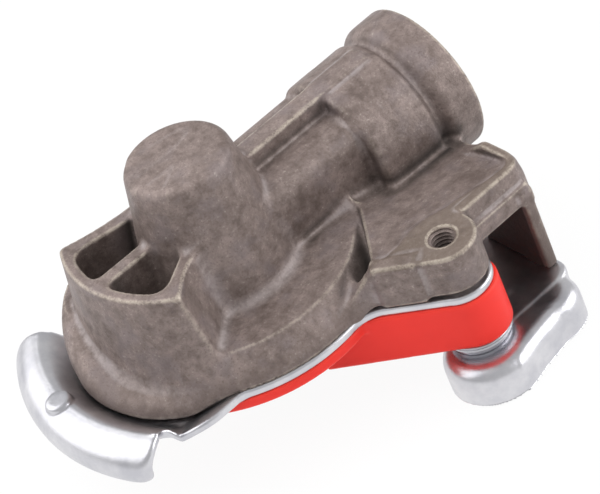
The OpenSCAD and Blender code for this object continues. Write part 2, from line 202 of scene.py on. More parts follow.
def skin_of(field, low, high, step):
    """Points and faces of a field's skin. Each cell of a cubic grid that the skin crosses gets one point
    at the mean of its edge crossings, each grid edge that it crosses gets one face, and the points then
    slide down the field's slope until they lie on the skin."""
    axes = [np.arange(a - 2 * step, b + 3 * step, step, dtype=np.float32) for a, b in zip(low, high)]
    value = field(*np.meshgrid(*axes, indexing="ij", sparse=True))
    inside = value < 0
    shape = np.array(value.shape)
    strides = np.array([shape[1] * shape[2], shape[2], 1])
    crossings = []
    for axis in range(3):
        first = [slice(None)] * 3
        second = [slice(None)] * 3
        first[axis] = slice(None, -1)
        second[axis] = slice(1, None)
        first, second = tuple(first), tuple(second)
        place = np.stack(np.nonzero(inside[first] != inside[second]), axis=1)
        a = value[first][tuple(place.T)]
        b = value[second][tuple(place.T)]
        point = place.astype(float)
        point[:, axis] += a / (a - b)
        u, v = strides[(axis + 1) % 3], strides[(axis + 2) % 3]
        home = place @ strides
        quad = np.stack([home - u - v, home - v, home, home - u], axis=1)
        quad[a > 0] = quad[a > 0][:, ::-1]
        crossings.append((quad, point))
    quads = np.concatenate([quad for quad, _ in crossings])
    points = np.concatenate([point for _, point in crossings])
    cells, faces = np.unique(quads, return_inverse=True)
    faces = faces.reshape(-1, 4)
    count = np.bincount(faces.ravel(), minlength=len(cells))
    sums = [np.bincount(faces.ravel(), np.repeat(points[:, k], 4), len(cells)) for k in range(3)]
    spot = np.stack(sums, axis=1) / count[:, None]
    spot = spot * step + np.array([axis[0] for axis in axes], float)
    for _ in range(3):
        slope = slope_of(field, spot, 0.3 * step)
        move = field(*spot.T) / np.maximum((slope * slope).sum(axis=1), 0.2)
        spot -= np.clip(move, -step, step)[:, None] * slope
    return spot, faces


def slope_of(field, points, reach):
    """Gradient of a field at points, from its difference over a short reach along each axis."""
    steps = np.eye(3) * reach
    return np.stack([field(*(points + s).T) - field(*(points - s).T) for s in steps], axis=1) / (2 * reach)


def bend_of(field, points, reach):
    """How sharply the skin bends at points: above zero on an outer edge and below zero in an inner
    corner."""
    steps = np.eye(3) * reach
    around = sum(field(*(points + s).T) + field(*(points - s).T) for s in steps)
    return (around - 6 * field(*points.T)) / (reach * reach)


def shut_of(field, points):
    """How shut in the skin is at points: 0 in the open, towards 1 in pockets. It is the mean share by
    which the field falls short of the way walked out along the normal."""
    slope = slope_of(field, points, 0.3)
    normal = slope / np.maximum(np.linalg.norm(slope, axis=1), 0.1)[:, None]
    ways = (2.5, 6.0, 12.0)
    return sum(np.clip(1 - field(*(points + way * normal).T) / way, 0, 1) for way in ways) / len(ways)


# Places that several pieces share

def from_lug(x, y):
    """How far a place of the plan lies from the lug's axis."""
    return np.hypot(x - LUG[0], y - LUG[1])


def from_screws(x, y):
    """How far a place of the plan lies from each screw's axis."""
    turns = [math.radians(angle) for angle in SCREW_ANGLES]
    return [np.hypot(x - SCREW_RING * math.cos(turn), y - SCREW_RING * math.sin(turn)) for turn in turns]


def lug_frame(x, y, turn, shift=(0.0, 0.0)):
    """A place seen from the lug, or from a point shifted off it: its offsets in X and Y, how far it lies
    out of the middle line of a strip that comes in at that turn, and how far along it."""
    dx, dy = x - LUG[0] - shift[0], y - LUG[1] - shift[1]
    return dx, dy, toward(dx, dy, turn - 90), toward(dx, dy, turn)


# The casting

def tower_field(x, y, z):
    """Drafted post with a rounded rim."""
    side = (np.hypot(x, y) - TOWER_TOP_R - TOWER_DRAFT * (TOWER_TOP_Z - z)) / math.hypot(1, TOWER_DRAFT)
    return meet(meet(side, z - TOWER_TOP_Z, soft=1.9), SEAT_Z + SINK - z)


def skirt_field(x, y, z):
    """Drum under the ledge: upright at its foot, then sloping in to the ledge's edge."""
    radius, upright, slope = 34.3, 1.4, 0.709
    radial = np.hypot(x, y)
    side = (radial - radius + slope * (z - SEAT_Z - upright)) / math.hypot(1, slope)
    return meet(meet(meet(side, radial - radius, soft=1.6), z - LEDGE_Z, soft=0.45), SEAT_Z - z)


def fan_field(x, y, z):
    """Fan and its pockets, as two solids. The fan is a cone cut by a near wall that bends from the tower
    to a ray, and by a far wall that splays. The pockets keep off the walls and lie on either side of a
    thin rib."""
    near_y, near_draft, ray_turn, ray_draft = -10.7, 0.08, -47.8, 0.2
    far_y, splay_y, splay_turn, far_draft = 14.2, 9.6, 71.22, 0.1
    wall, rib_half, rib_y, rib_skew = 2.6, 1.75, 0.3, 0.02
    pocket_near_turn, pocket_near, pocket_far_turn, pocket_far_y = -57.79, 0.965, 76.13, 8.1
    outer_draft, pocket_draft = 0.15, 0.05
    drop = FAN_Z - z
    radial = np.hypot(x, y - FAN_SHIFT)
    outer = radial - FAN_R - outer_draft * drop
    near = join(near_y - y - near_draft * drop, toward(x, y, ray_turn) - ray_draft * drop, soft=5.0)
    far = join(y - far_y - far_draft * drop, toward(x, y - splay_y, splay_turn) - far_draft * drop, soft=3.0)
    shape = meet(meet(meet(outer, near, soft=1.2), far, soft=1.2), x + 3)
    shape = meet(meet(shape, z - FAN_Z, soft=0.7), SEAT_Z + SINK - z)
    lean = pocket_draft * drop
    hollow = meet(radial - FAN_R + wall + lean, toward(x, y, pocket_near_turn) - pocket_near + lean, soft=4.0)
    hollow = meet(hollow, toward(x, y - pocket_far_y, pocket_far_turn) + lean, soft=4.0)
    hollow = meet(hollow, rib_half + lean - np.abs(y - rib_y + rib_skew * x), soft=2.5)
    hollow = meet(hollow, POCKET_Z - z, soft=2.0)
    hollow = cut(hollow, tower_field(x, y, z), soft=1.5)
    return shape, hollow


def lobe_field(x, y, z):
    """Round lobe of the foot on the claw side, set off from the tower's axis, bulging, higher on its far
    side, and reaching down into the dip of the guide plate."""
    centre, radius = (-10.99, 0.38), 28.9
    near_top_z, rise, gap = 8.3, 0.4, 0.7
    radial = np.hypot(x - centre[0], y - centre[1]) - radius
    top = 0.28 * radial + 0.93 * (z - near_top_z - softplus(1.0 + rise * y, 1.5))
    bulge = meet(meet(radial, top, soft=4.0), z - LEDGE_Z - 1.5)
    dipped = ramp(toward(x, y, CLAW_ENDS[0] + 90), 0.5, 3.0)
    foot = SEAT_Z + gap + dipped * (sheet_height(x, y) + SHEET / 2 - SEAT_Z)
    return meet(meet(bulge, x + 9), 0.6 * (foot - z), soft=0.5)


def pipe_field(x, y, z):
    """Hose pipe along X: rounded-box neck, barrel, groove, collar, and the flat bar on top."""
    neck_half, neck_end, squareness = 12.7, 42.0, 6
    collar_length, groove_r = 9.2, 15.6
    bar_half, bar_end, bar_top = 2.7, 50.0, PORT_Z + BARREL_R + 0.3
    up = z - PORT_Z
    round_r = np.hypot(y, up)
    neck = (np.abs(y) ** squareness + np.abs(up) ** squareness) ** (1 / squareness) - neck_half
    neck = meet(neck, between(x, 0, neck_end))
    neck = cut(neck, meet(np.hypot(x, y) - PLATE_R - 2, z - SEAT_Z))
    barrel = meet(round_r - BARREL_R, between(x, *BARREL_ENDS), soft=1.6)
    collar = meet(round_r - COLLAR_R, PORT_X - collar_length - x, soft=3.0)
    collar = meet(collar, x - PORT_X, soft=0.8)
    groove = meet(round_r - groove_r, between(x, 40, PORT_X - 2.6))
    shape = join(neck, barrel, soft=1.6)
    shape = join(join(shape, groove, soft=1.6), collar, soft=1.6)
    bar = block(x, y, z, (0, -bar_half, PORT_Z), (bar_end, bar_half, bar_top), soft=0.7)
    return join(shape, bar, soft=1.0)


def land_field(x, y):
    """Plan of the ground land: a disc round the lug and the band along the near edge."""
    disc_r, flare = 8.2, 0.21
    band = y - LAND_CORNER[1] + flare * softplus(x - LAND_CORNER[0], 2.0)
    return join(from_lug(x, y) - disc_r, band, soft=1.5)


def floor_height(x, y):
    """Top of arm and tray: level on the land, then a short step down and a slope to the pipe, higher
    beside the ledge."""
    step, skew = 0.8, 0.13
    root_y, root_slope, root_fall, lift_from_y = -15.0, 0.13, 0.35, -36.0
    away = softplus(land_field(x, y), 0.5)
    past = y - LAND_CORNER[1] + skew * (x - LAND_CORNER[0])
    tray = LUG_Z - step * (1 - np.exp(-away / step)) - TRAY_SLOPE * softplus(past, 1.0)
    root = LEDGE_Z + 0.2 - root_slope * (y - root_y) - root_fall * softplus(-arm_edge(x, y), 1.0)
    lifted = meet(tray, join(root, LUG_Z - 1.2, soft=2.0), soft=3.0)
    return np.where(y > lift_from_y, lifted, tray)


def arm_edge(x, y):
    """How far a place lies outside the straight edge that the arm has beside the ledge."""
    edge_turn, edge_offset = 147.66, 31.4
    return toward(x, y, edge_turn) + edge_offset


def top_field(x, y, z):
    """Everything below the top of arm and tray."""
    return (z - floor_height(x, y)) / math.hypot(1, TRAY_SLOPE)


def arm_field(x, y, z):
    """Arm from the skirt to the lug, as two straight strips round the lug's centre, trimmed on the ledge
    side, with a boss down to the seat."""
    boss_r, boss_h, strip_length, column_end_y = 5.2, 4.0, 44.0, -2.0
    dx, dy, out, along = lug_frame(x, y, ARM_TURN)
    strip = meet(np.abs(out) - LUG_R, between(along, -strip_length, 0))
    column = meet(np.abs(dx) - LUG_R, between(y, LUG[1], column_end_y))
    plan = join(from_lug(x, y) - LUG_R, meet(join(strip, column), arm_edge(x, y), soft=0.6))
    arm = meet(plan, meet(top_field(x, y, z), ARM_FOOT_Z - z), soft=0.7)
    return join(arm, post(dx, dy, z, boss_r, SEAT_Z, SEAT_Z + boss_h))


def wing_field(x, y, z):
    """Wing that carries the arm's near edge down to the skirt, its crest falling in a curve."""
    thick, ends, fall_from, fall_rate = 2.6, (-27.0, -6.0), -12.5, 0.11
    _, _, out, along = lug_frame(x, y, ARM_TURN)
    crest = LUG_Z - fall_rate * np.maximum(fall_from - along, 0.0) ** 2
    wing = meet(between(out, LUG_R - thick, LUG_R), between(along, *ends))
    return meet(meet(wing, 0.75 * (z - crest), soft=1.0), ARM_FOOT_Z - z, soft=0.6)


def bracket_plan_field(x, y, inset, corner):
    """Plan of the bracket: from the lug to the rim, with the outer near corner rounded."""
    return meet(x - RIM_X + inset, WEB_FRONT + inset - y, corner)


def bracket_field(x, y, z):
    """Sloping tray between arm and leg, hollow below, inside a rim that falls towards the collar, with a
    band along its near face and the leg under its end."""
    lean_from_z, lean_rate = 15.0, 0.14
    rim_fall, rim_fall_y, rim_from_x = 0.8, -29.5, 36.0
    hollow_x, hollow_y, hollow_top = 38.3, (-37.3, -17.0), 11.5
    band_y, band_top = (LEG_FRONT + 0.3, -41.0), 14.8
    leg_x, leg_end_y, leg_top = LEG_X - LEG_T, -22.5, 13.0
    lean = lean_rate * softplus(z - lean_from_z, 1.0)
    plan = meet(bracket_plan_field(x, y, lean, 6.0), LUG[0] - x)
    tray = meet(meet(plan, y), meet(top_field(x, y, z), TRAY_UNDER_Z - z), soft=0.6)
    hollow = block(x, y, z, (hollow_x, hollow_y[0], 8), (leg_x, hollow_y[1], hollow_top), soft=0.8)
    tray = cut(tray, hollow, soft=0.6)
    ring = cut(plan, bracket_plan_field(x, y, RIM_T, 3.0), soft=0.5)
    crest = (z - LUG_Z + rim_fall * softplus(y - rim_fall_y, 1.0)) / math.hypot(1, rim_fall)
    rim = meet(meet(ring, crest, soft=0.6), meet(TRAY_UNDER_Z - z, rim_from_x - x))
    band = block(x, y, z, (LUG[0], band_y[0], TRAY_UNDER_Z), (LEG_X, band_y[1], band_top), soft=0.7)
    wall = block(x, y, z, (leg_x, LEG_FRONT, HOOK_TOP), (LEG_X, leg_end_y, leg_top), soft=0.8)
    tenon = block(x, y, z, (leg_x, LEG_FRONT + 2, HOOK_TOP - HOOK_T), (LEG_X, LEG_FRONT + 8, HOOK_TOP + 1))
    shape = join(join(tray, rim, soft=0.8), band, soft=0.5)
    return join(join(shape, wall, soft=1.2), tenon)


def shelf_field(x, y, z):
    """Shelf between pipe and ledge, under a strip that slopes down from the pipe."""
    strip_start, strip_skew = (16.4, -12.0), 0.236
    shelf = block(x, y, z, (12, -17, SEAT_Z + SINK), (27.4, 0, 18), soft=0.5)
    past = y - strip_start[1] + strip_skew * (x - strip_start[0])
    return meet(shelf, 0.67 * (z - LEDGE_Z) - 0.74 * past)


def bores_field(x, y, z):
    """Seal seat, valve chambers, stem guide, air passage, port, lug hole and screw holes."""
    seal_r, seal_depth = 24.0, 3.5
    chamber_r, chamber_top = 14.8, 20.0
    spring_r, spring_top = 10.5, 37.0
    guide_r, guide_low = 6.2, 31.5
    stem_r, stem_top = 3.7, 43.0
    passage_r, screw_r = 7.0, 2.15
    round_r = np.hypot(y, z - PORT_Z)
    seat = post(x, y, z, seal_r, SEAT_Z - 2, SEAT_Z + seal_depth)
    low = post(x, y, z, chamber_r, SEAT_Z, chamber_top)
    high = post(x, y, z, spring_r, chamber_top - 1, spring_top)
    high = cut(high, post(x, y, z, guide_r, guide_low, spring_top + 1))
    stem = post(x, y, z, stem_r, guide_low - 1.5, stem_top)
    passage = meet(round_r - passage_r, between(x, 6.5, 50))
    port = meet(round_r - PORT_CORE_R - 0.85, between(x, PORT_X - PORT_DEPTH, PORT_X + 2))
    mouth = meet(round_r - PORT_CORE_R - 1.4 - (x - PORT_X), between(x, PORT_X - 3, PORT_X + 2))
    lug_r = from_lug(x, y)
    lug = meet(lug_r - LUG_CORE_R - 0.6, between(z, SEAT_Z - 2, LUG_Z + 2))
    flare = meet(lug_r - LUG_CORE_R - 0.9 - (z - LUG_Z), between(z, LUG_Z - 2, LUG_Z + 2))
    holes = seat
    for hole in (low, high, stem, passage, port, mouth, lug, flare):
        holes = join(holes, hole)
    for screw in from_screws(x, y):
        holes = join(holes, meet(screw - screw_r, between(z, SEAT_Z - 2, SEAT_Z + 6)))
    return holes


def casting_field(x, y, z):
    """The whole casting: drums, fan, lobe, pipe, shelf, wing, arm and bracket run together with cast
    fillets, then bored. Each join is a share of the plain fillet."""
    fillet = bpy.context.scene.coupling_casting.fillet / MM
    fan, pockets = fan_field(x, y, z)
    shape = join(tower_field(x, y, z), skirt_field(x, y, z), fillet)
    shape = join(shape, fan, 0.8 * fillet)
    shape = join(shape, lobe_field(x, y, z), 0.6 * fillet)
    shape = join(shape, pipe_field(x, y, z), 0.5 * fillet)
    shape = join(shape, shelf_field(x, y, z), soft=0.8)
    shape = join(shape, wing_field(x, y, z), 2.2 * fillet)
    arm = join(arm_field(x, y, z), bracket_field(x, y, z))
    shape = join(shape, arm, 0.95 * fillet)
    shape = cut(shape, pockets, soft=0.6)
    return cut(shape, bores_field(x, y, z))


# The guide plate

def claw_plan_field(x, y):
    """Plan of the claw: a sector of the ring with rounded outer corners, and the wider strip behind it."""
    strip_r, strip_from_x, spare = 42.6, -12.0, 0.6
    r = np.hypot(x, y)
    middle = sum(CLAW_ENDS) / 2
    half_sweep = math.radians((CLAW_ENDS[1] - CLAW_ENDS[0]) / 2)
    forward = toward(x, y, middle)
    aside = np.abs(toward(x, y, middle + 90))
    end = aside * math.cos(half_sweep) - forward * math.sin(half_sweep)
    sector = meet(end, r - CLAW_R - spare, soft=6.0)
    strip = meet(r - strip_r, DIP_END_Y - y, soft=4.0)
    strip = meet(strip, meet(toward(x, y, CLAW_ENDS[0] - 90), x - strip_from_x))
    return meet(join(sector, strip, soft=1.5), -forward)


def sheet_height(x, y):
    """Middle height of the guide plate on the claw side: flat under the casting, then a dip that fades
    out towards the arm, then a rise to the ridge as far as the claw's near end."""
    flat, dip, ridge = SEAT_Z - SHEET / 2, 4.0, RIDGE_Z - SHEET / 2
    dip_width, rise_r, fade, end_width = 2.6, 38.2, 8.0, 3.0
    r = np.hypot(x, y)
    fall = ramp(r, BEND_R, BEND_R + dip_width) * ramp(y, DIP_END_Y, DIP_END_Y + fade)
    rise = ramp(r, rise_r, CREST_R) * (1 - ramp(toward(x, y, CLAW_ENDS[1] + 90), 0.0, end_width))
    return flat - (flat - dip) * fall + (ridge - dip) * rise


def claw_field(x, y, z):
    """Claw: a sheet that dips beside the plate, rises to a round ridge and turns down, swept round the
    seal axis. Its middle surface is a height as far as the ridge, then an oval arc, then an upright
    wall."""
    half, tall, reach = SHEET / 2, 5.0, 0.05
    wide = CLAW_R - half - CREST_R
    r = np.hypot(x, y)
    height = sheet_height(x, y)
    stretch = 1 + reach / np.maximum(r, 1.0)
    steep = (sheet_height(x * stretch, y * stretch) - height) / reach
    inner = np.abs(z - height) / np.sqrt(1 + steep * steep)
    dr, dz = r - CREST_R, z - RIDGE_Z + half + tall
    oval = np.abs(np.hypot(dr / wide, dz / tall) - 1) * 0.5 * (wide + tall)
    path = np.where(dr < 0, inner, np.where(dz > 0, oval, np.abs(r - CLAW_R + half)))
    outline = meet(claw_plan_field(x, y), CLAW_FOOT - z, soft=3.0)
    return meet(meet(path - half, outline, soft=0.8), BEND_R - 0.6 - r)


def plate_plan_field(x, y):
    """Plan of the flat of the guide plate: disc and arm strip."""
    strip_length, column_end_y = 30.0, -20.0
    dx, _, out, along = lug_frame(x, y, ARM_TURN)
    strip = meet(np.abs(out) - LUG_R, between(along, -strip_length, 0))
    column = meet(np.abs(dx) - LUG_R, between(y, LUG[1], column_end_y))
    arm = join(from_lug(x, y) - LUG_R - 0.1, join(strip, column))
    return join(np.hypot(x, y) - PLATE_R, arm, soft=4.0)


def guide_plate_field(x, y, z):
    """Pressed plate: flat with holes, claw and the round dimple on its ridge."""
    peg_r, peg_way, peg_turn, peg_h = 3.1, 46.4, math.radians(172.0), 0.9
    r = np.hypot(x, y)
    bent = meet(claw_plan_field(x, y), BEND_R + 0.2 - r)
    flat = meet(cut(plate_plan_field(x, y), bent), between(z, SEAT_Z - SHEET, SEAT_Z), soft=0.7)
    peg_x, peg_y = peg_way * math.cos(peg_turn), peg_way * math.sin(peg_turn)
    peg = post(x - peg_x, y - peg_y, z, peg_r, SEAT_Z, RIDGE_Z + peg_h, soft=1.2)
    claw = join(claw_field(x, y, z), peg, soft=0.5)
    shape = cut(join(flat, claw, soft=0.8), r - MOUTH_R, soft=0.4)
    shape = cut(shape, from_lug(x, y) - BOLT_HOLE_R, soft=0.4)
    for screw in from_screws(x, y):
        shape = cut(shape, screw - SCREW_HOLE_R)
    return shape


# The rail and the hook

def guide_rail_field(x, y, z):
    """Moulded disc, thinned under the bent part of the plate, with the thick stop rail that ends in a
    round boss under the lug."""
    boss_shift, boss_r = (0.4, -0.2), LUG_R + 0.3
    back, strip_length, column_end_y, rail_end_y = 11.0, 33.0, -26.0, -21.5
    sink_r, play = 4.7, 0.4
    top = SEAT_Z - SHEET
    low = top - DISC_T
    r = np.hypot(x, y)
    dx, dy, out, along = lug_frame(x, y, RAIL_TURN, boss_shift)
    strip = meet(meet(out - boss_r, -back - out), between(along, -strip_length, 0))
    column = meet(np.abs(dx) - boss_r, between(y, LUG[1] + boss_shift[1], column_end_y))
    plan = join(np.hypot(dx, dy) - boss_r, meet(join(strip, column), y - rail_end_y, soft=2.0))
    rail = meet(plan, between(z, RAIL_BOTTOM, top), soft=0.9)
    disc = meet(r - PLATE_R + 0.1, between(z, low, top), soft=0.8)
    bent = meet(claw_plan_field(x, y) - play, 0.6 * (sheet_height(x, y) - SHEET / 2 - z))
    shape = cut(join(cut(disc, bent), rail, soft=1.2), r - MOUTH_R, soft=0.6)
    shape = cut(shape, from_lug(x, y) - BOLT_HOLE_R)
    for screw in from_screws(x, y):
        shape = cut(shape, join(screw - SCREW_HOLE_R, (screw - sink_r + z - low) / math.sqrt(2)))
    return shape


def hook_cups_field(x, y, z, inset):
    """The hook's two round cups run together, with every face set in by inset."""
    waist = 0.15
    length = HOOK_FAR[0] - HOOK_NEAR[0]
    near = np.hypot(x - HOOK_NEAR[0], y - HOOK_NEAR[1]) - HOOK_NEAR_R
    far = np.hypot(x - HOOK_FAR[0], y - HOOK_FAR[1]) - HOOK_FAR_R
    share = (x - HOOK_NEAR[0]) / length
    half = HOOK_NEAR_R - waist + share * (HOOK_FAR_R - HOOK_NEAR_R)
    link = meet(between(x, HOOK_NEAR[0], HOOK_FAR[0]), np.abs(y - HOOK_NEAR[1]) - half)
    plan = join(join(near, far), link, soft=1.0)
    cups = meet(plan + inset, z - HOOK_TOP + inset, HOOK_ROUND - inset)
    return meet(cups, HOOK_TOP - HOOK_H - inset - z)


def hook_field(x, y, z):
    """Pressed hook: two round cups, hollow below and open inwards, with a flat floor behind that clears
    the disc."""
    open_x, floor_x, floor_y = (HOOK_NEAR[0] - 7.7, 70.0), (24.5, LEG_X + 0.6), (-47.0, -22.0)
    disc_clear_r = 38.5
    shell = cut(hook_cups_field(x, y, z, 0.0), hook_cups_field(x, y, z, HOOK_T), soft=0.3)
    behind = meet(between(x, *open_x), LUG[1] - y)
    shell = cut(shell, meet(behind, z - HOOK_TOP + HOOK_T), soft=0.4)
    plan = meet(between(x, *floor_x), between(y, *floor_y), soft=4.0)
    plan = cut(plan, np.hypot(x, y) - disc_clear_r, soft=1.0)
    floor = meet(plan, between(z, HOOK_TOP - HOOK_T, HOOK_TOP), soft=0.7)
    return cut(join(shell, floor, soft=1.0), from_lug(x, y) - BOLT_HOLE_R)


# Surfaces of two parameters

def lathe(profile, turns=96, centre=(0.0, 0.0)):
    """Closed ring: a closed profile of radius and height, carried round an upright axis, in millimetres."""
    profile = np.asarray(profile, float)
    angle = np.linspace(0, 2 * np.pi, turns, endpoint=False)
    radius, height = profile[:, 0], profile[:, 1]
    a = np.outer(np.cos(angle), radius)
    b = np.outer(np.sin(angle), radius)
    h = np.broadcast_to(height, a.shape)
    points = np.stack([a + centre[0], b + centre[1], h], axis=2)
    return points.reshape(-1, 3), grid_faces(turns, len(profile))


def grid_faces(rows, columns, closed=True):
    """Faces of a grid of points. Each row closes on itself, and the last row joins the first one if
    closed."""
    point = np.arange(rows * columns).reshape(rows, columns)
    here = point if closed else point[:-1]
    ahead = np.roll(point, -1, axis=0)[:len(here)]
    corners = [here, ahead, np.roll(ahead, -1, axis=1), np.roll(here, -1, axis=1)]
    return np.stack(corners, axis=2).reshape(-1, 4)


def thread_liner(core, depth, pitch, low, high, back, steps=14, turns=72):
    """Inside thread: radius rises from the core to the core plus depth and back once a pitch, along a
    line that climbs one pitch a turn; a plain outer wall closes the ring. Rows run round, columns up and
    back down."""
    angle = np.linspace(0, 2 * np.pi, turns, endpoint=False)[:, None]
    count = int((high - low) / pitch * steps)
    height = np.linspace(low, high, count)[None, :]
    phase = (height / pitch - angle / (2 * np.pi)) % 1.0
    groove = np.clip(1.35 - 3.0 * np.abs(phase - 0.5), 0.0, 1.0)
    fade = np.clip((high - height) / (0.6 * pitch), 0, 1)
    inner = core + depth * np.maximum(groove, 1 - fade)
    radius = np.concatenate([inner, np.full((turns, 2), back)], axis=1)
    along = np.concatenate([np.repeat(height, turns, axis=0), np.tile([[high, low]], (turns, 1))], axis=1)
    points = np.stack([radius * np.cos(angle), radius * np.sin(angle), along], axis=2)
    return points, grid_faces(turns, count + 2)


def spring_wire(radius, wire, turns, low, high, sides=14, steps=64):
    """Round wire carried along a helix between two heights, with a dead stretch that lies flat at either
    end, where the wire narrows to a point."""
    dead = 0.75
    count = int(turns * steps)
    share = np.linspace(0, 1, count)
    angle = share * turns * 2 * np.pi
    rise = np.clip((share * turns - dead) / (turns - 2 * dead), 0, 1)
    height = low + wire + rise * (high - low - 2 * wire)
    size = wire * np.clip(np.minimum(share, 1 - share) * count, 0.02, 1)
    around = np.linspace(0, 2 * np.pi, sides, endpoint=False)
    r = radius + np.outer(size, np.cos(around))
    z = height[:, None] + np.outer(size, np.sin(around))
    points = np.stack([r * np.cos(angle)[:, None], r * np.sin(angle)[:, None], z], axis=2)
    return points.reshape(-1, 3), grid_faces(count, sides, closed=False)[:, ::-1]


def box_mm(node):
    """Lowest and highest corner of a CAD node, in millimetres."""
    return [np.array(corner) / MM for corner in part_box(node)]


def add_piece(name, points, faces, body, *nodes):
    """Mesh object from points in millimetres, riding on a body in place of its CAD nodes."""
    mesh = bpy.data.meshes.new(name)
    mesh.vertices.add(len(points))
    mesh.vertices.foreach_set("co", (np.asarray(points) * MM).ravel())
    mesh.loops.add(faces.size)
    mesh.loops.foreach_set("vertex_index", faces.astype(np.int32).ravel())
    mesh.polygons.add(len(faces))
    mesh.polygons.foreach_set("loop_start", np.arange(0, faces.size, 4, dtype=np.int32))
    mesh.update(calc_edges=True)
    if mesh.validate():
        raise RuntimeError(f"{name}: the mesh was not sound")
    mesh.shade_smooth()
    piece = bpy.data.objects.new(name, mesh)
    bpy.context.scene.collection.objects.link(piece)
    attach(piece, body)
    if nodes:
        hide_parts(*nodes)
    return piece


def add_field_piece(name, field, low, high, step, node):
    """Piece from a field; how its skin bends and how shut in it is are kept for the finish."""
    points, faces = skin_of(field, low, high, step)
    piece = add_piece(name, points, faces, BODY, node)
    kept = {"bend": np.clip(bend_of(field, points, 0.9), -2.0, 2.0), "shut": shut_of(field, points)}
    for name, values in kept.items():
        attribute = piece.data.attributes.new(name, "FLOAT", "POINT")
        attribute.data.foreach_set("value", values.astype(np.float32))
    return piece


def dress(piece, material):
    """Gives a piece one material, in its only slot."""
    piece.data.materials.clear()
    piece.data.materials.append(material)


# Finishes

class Value:
    """A number socket that takes part in sums; each operator adds one Math node."""

    def __init__(self, finish, socket):
        self.finish = finish
        self.socket = socket

    def math(self, operation, *others, clamp=False):
        """A Math node on this value and others."""
        settings = {"operation": operation, "use_clamp": clamp}
        inputs = {i: v for i, v in enumerate((self, *others))}
        return self.finish.node("ShaderNodeMath", settings, inputs).value()

    def __add__(self, other):
        return self.math("ADD", other)

    __radd__ = __add__

    def __sub__(self, other):
        return self.math("SUBTRACT", other)

    def __rsub__(self, other):
        return (self * -1.0) + other

    def __mul__(self, other):
        return self.math("MULTIPLY", other)

    __rmul__ = __mul__

    def held(self):
        """This value held between 0 and 1."""
        return self.math("ADD", 0.0, clamp=True)

    def over(self, low, high):
        """0 below low, 1 above high, and a straight rise between."""
        return ((self - low) * (1.0 / (high - low))).held()


class Made:
    """A node that was made, with short ways to its outputs."""

    def __init__(self, finish, node):
        self.finish = finish
        self.node = node

    def value(self, name=0):
        """An output as a Value."""
        return Value(self.finish, self.node.outputs[name])

    def out(self, name=0):
        """An output socket."""
        return self.node.outputs[name]


class Finish:
    """A material or a world under construction."""

    def __init__(self, owner):
        """Starts an empty node tree on a new material of that name, or on a world."""
        self.material = bpy.data.materials.new(owner) if isinstance(owner, str) else owner
        self.material.use_nodes = True
        self.tree = self.material.node_tree
        self.tree.nodes.clear()
        self.spot = None

    def place(self):
        """Place on a piece, in metres."""
        if self.spot is None:
            self.spot = self.node("ShaderNodeTexCoord").out("Object")
        return self.spot

    def node(self, kind, settings=None, inputs=None):
        """Adds a node: its settings are set first, then its sockets get values or links."""
        node = self.tree.nodes.new(kind)
        for key, setting in (settings or {}).items():
            setattr(node, key, setting)
        for key, given in (inputs or {}).items():
            socket = node.inputs[key]
            if isinstance(given, Value):
                given = given.socket
            if isinstance(given, bpy.types.NodeSocket):
                self.tree.links.new(given, socket)
            else:
                socket.default_value = given
        return Made(self, node)

    def noise(self, scale, detail=3.0, rough=0.5):
        """Noise between 0 and 1; scale is in waves a metre."""
        inputs = {"Vector": self.place(), "Scale": scale, "Detail": detail, "Roughness": rough}
        return self.node("ShaderNodeTexNoise", {"noise_dimensions": "3D"}, inputs).value("Fac")

    def attribute(self, name):
        """A number kept on the mesh's points."""
        return self.node("ShaderNodeAttribute", {"attribute_name": name}).value("Fac")

    def mix(self, share, a, b):
        """Colour a where share is 0 and colour b where it is 1."""
        settings = {"data_type": "RGBA", "clamp_factor": True}
        made = self.node("ShaderNodeMix", settings, {"Factor": share, 6: a, 7: b})
        return made.out(2)

    def seen(self):
        """1 for rays from the camera, off mirrors and through glass, 0 for all others."""
        path = self.node("ShaderNodeLightPath")
        total = path.value("Is Camera Ray") + path.value("Is Glossy Ray") + path.value("Is Transmission Ray")
        return total.held()

    def bump(self, height, strength, distance):
        """Normal that is tilted by a height, whose unit is distance in metres."""
        inputs = {"Height": height, "Strength": strength, "Distance": distance}
        return self.node("ShaderNodeBump", None, inputs).out("Normal")

    def close(self, **inputs):
        """Ends the material in a Principled shader; words of a socket's name are joined by _."""
        named = {key.replace("_", " "): given for key, given in inputs.items()}
        shader = self.node("ShaderNodeBsdfPrincipled", None, named)
        self.node("ShaderNodeOutputMaterial", None, {"Surface": shader.out("BSDF")})
        return self.material


def rgb(colour):
    """A colour property as the four numbers of a socket."""
    return (*colour, 1.0)


